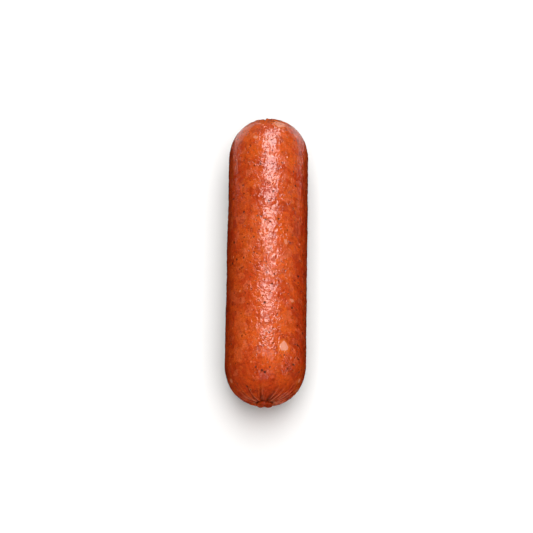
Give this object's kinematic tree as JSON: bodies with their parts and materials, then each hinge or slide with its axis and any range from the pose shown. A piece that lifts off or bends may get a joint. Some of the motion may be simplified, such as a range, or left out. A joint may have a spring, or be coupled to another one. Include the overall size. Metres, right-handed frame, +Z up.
{
  "type": "smoked sausage link",
  "caption": "Cooked smoked sausage: a plump straight cylinder in a thin glossy casing, with round ends gathered into pleats round a puckered tie.",
  "frame": {"origin": "middle of the link's box, on the surface it lies on", "axes": "+Y along the link, from the tied end that shows in the picture to the far one; +Z up"},
  "size_m": [0.0322, 0.1222, 0.0316],
  "materials": {
    "casing": "glossy cooked casing over mottled orange-red meat with pale fat and dark spice specks"
  },
  "bodies": {
    "root": {"sausage_link": "casing"}
  },
  "joints": []
}
